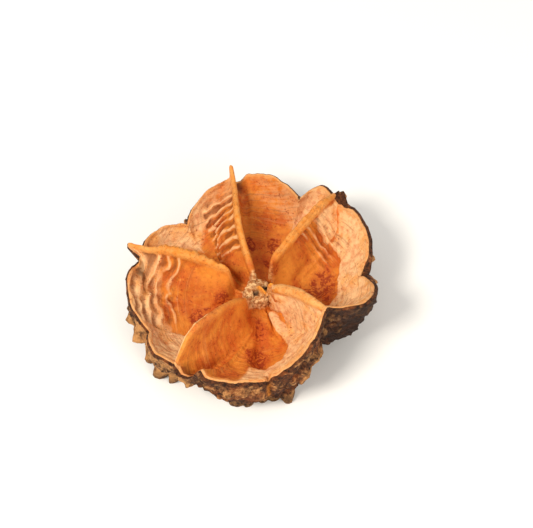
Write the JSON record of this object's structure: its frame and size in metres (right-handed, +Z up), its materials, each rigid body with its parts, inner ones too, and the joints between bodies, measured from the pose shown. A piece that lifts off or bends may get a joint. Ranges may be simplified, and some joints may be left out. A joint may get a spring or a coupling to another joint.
{
  "type": "dried seed capsule",
  "caption": "Dried woody seed capsule, burst open like a lobed cup, with upright partitions radiating from a short column, a ribbed pale lining and warty dark bark.",
  "frame": {"origin": "centre of the flat stalk scar at the base, on the surface that the capsule stands on", "axes": "+Z up out of the open cup; +X and +Y across it, with the valve that ends in the highest beak pointing near +Y"},
  "size_m": [0.06, 0.0619, 0.0262],
  "materials": {
    "dried_husk": "matte dry woody husk, pale cream to orange-brown inside with dark red-brown stains, dark rough bark outside"
  },
  "bodies": {
    "root": {"seed_capsule": "dried_husk"}
  },
  "joints": []
}
